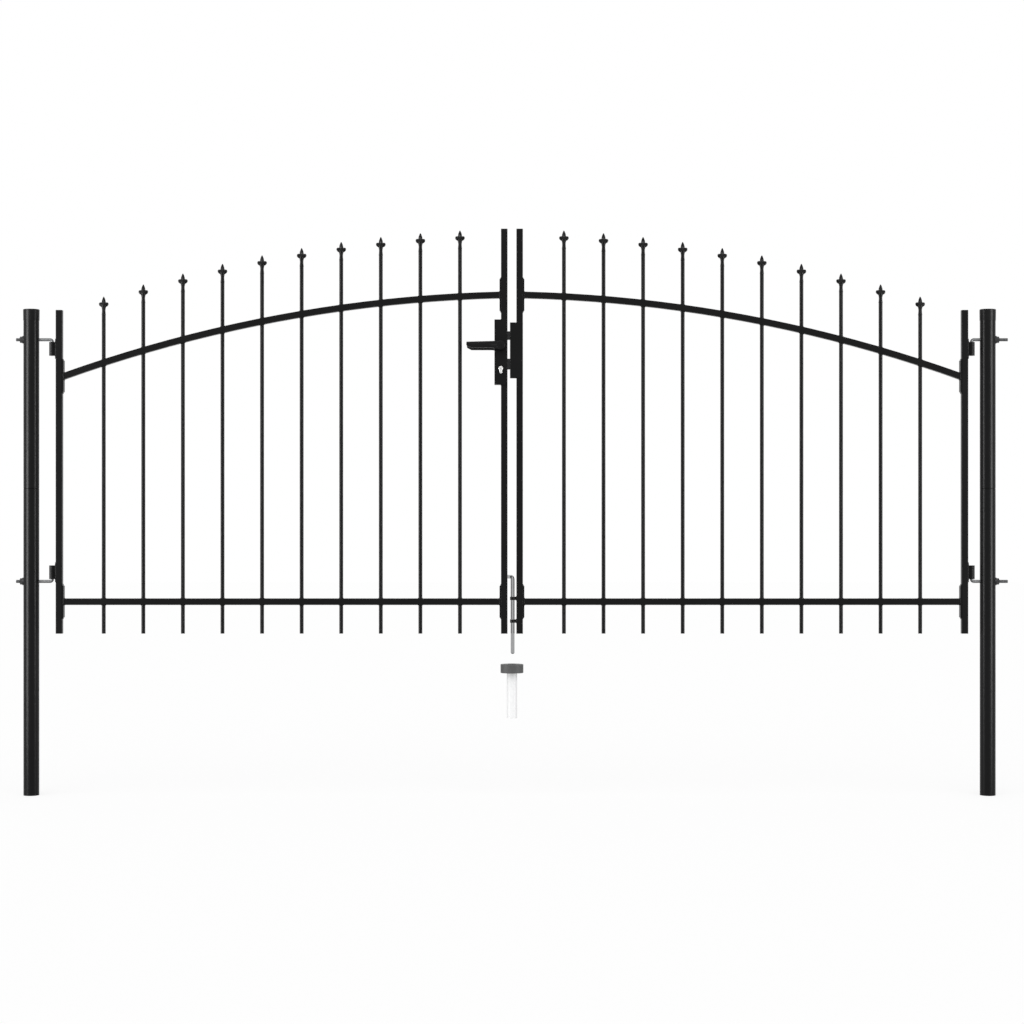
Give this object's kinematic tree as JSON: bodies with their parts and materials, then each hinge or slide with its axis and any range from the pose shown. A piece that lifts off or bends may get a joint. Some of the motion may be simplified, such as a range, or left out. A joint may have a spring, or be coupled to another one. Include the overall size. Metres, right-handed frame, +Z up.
{
  "type": "double-leaf driveway gate with posts",
  "caption": "Arched double-leaf steel driveway gate with spear-topped bars, round posts, hook hinges, lever lock, keep and drop bolt with its ground socket.",
  "frame": {"origin": "centre of the left post's foot", "axes": "+X from the left post to the right post, +Y away from the front, +Z up"},
  "size_m": [3.0601, 0.1126, 1.747],
  "materials": {
    "black_coat": "satin black powder coat",
    "black_plastic": "satin black plastic",
    "zinc": "zinc-plated steel",
    "hook_steel": "grey plated steel",
    "nickel": "satin nickel plate",
    "black_alloy": "black-coated cast alloy",
    "bolt_steel": "dark steel",
    "socket_grey": "dull grey steel",
    "socket_pale": "bright galvanised steel"
  },
  "bodies": {
    "posts": {"left_post_lower": "black_coat", "left_post_upper": "black_coat", "left_post_cap": "black_plastic", "left_upper_hook": "hook_steel", "left_lower_hook": "hook_steel", "right_post_lower": "black_coat", "right_post_upper": "black_coat", "right_post_cap": "black_plastic", "right_upper_hook": "hook_steel", "right_lower_hook": "hook_steel", "hook_washers": "bolt_steel", "hook_nuts": "bolt_steel", "socket_collar": "socket_grey", "socket_tube": "socket_pale"},
    "left_leaf": {"left_outer_stile": "black_coat", "left_inner_stile": "black_coat", "left_stile_caps": "black_plastic", "left_top_rail": "black_coat", "left_bottom_rail": "black_coat", "left_rail_plates": "black_coat", "left_bars": "black_coat", "left_spearheads": "black_coat", "left_upper_eye": "black_coat", "left_lower_eye": "black_coat", "lock_case": "black_coat", "lock_cylinder": "nickel"},
    "right_leaf": {"right_outer_stile": "black_coat", "right_inner_stile": "black_coat", "right_stile_caps": "black_plastic", "right_top_rail": "black_coat", "right_bottom_rail": "black_coat", "right_rail_plates": "black_coat", "right_bars": "black_coat", "right_spearheads": "black_coat", "right_upper_eye": "black_coat", "right_lower_eye": "black_coat", "keep": "black_coat", "drop_bolt_guides": "black_coat"},
    "handle": {"front_lever": "black_alloy", "rear_lever": "black_alloy", "handle_spindle": "bolt_steel"},
    "latch": {"latch_bolt": "bolt_steel"},
    "lock_bolt": {"deadbolt": "bolt_steel"},
    "ground_bolt": {"drop_bolt": "zinc"}
  },
  "joints": [
    {"name": "left_leaf_swing", "type": "hinge", "parent": "posts", "child": "left_leaf", "pos_m": [0.0647, 0, 0.6], "axis": [0, 0, -1], "range_deg": [0, 90]},
    {"name": "right_leaf_swing", "type": "hinge", "parent": "posts", "child": "right_leaf", "pos_m": [2.9022, 0, 0.6], "axis": [0, 0, 1], "range_deg": [0, 90]},
    {"name": "handle_turn", "type": "hinge", "parent": "left_leaf", "child": "handle", "pos_m": [1.4492, 0, 1.385], "axis": [0, -1, 0], "range_deg": [0, 40], "stiffness_Nm_per_rad": 1.5, "springref_deg": -20.05},
    {"name": "latch_slide", "type": "slide", "parent": "left_leaf", "child": "latch", "axis": [-1, 0, 0], "range_m": [0, 0.0122]},
    {"name": "deadbolt_slide", "type": "slide", "parent": "left_leaf", "child": "lock_bolt", "axis": [-1, 0, 0], "range_m": [0, 0.02]},
    {"name": "drop_bolt_slide", "type": "slide", "parent": "right_leaf", "child": "ground_bolt", "axis": [0, 0, 1], "range_m": [-0.0517, 0]}
  ],
  "couplings": [
    {"joint": "latch_slide", "follows": "handle_turn", "m_per_rad": 0.01719}
  ]
}
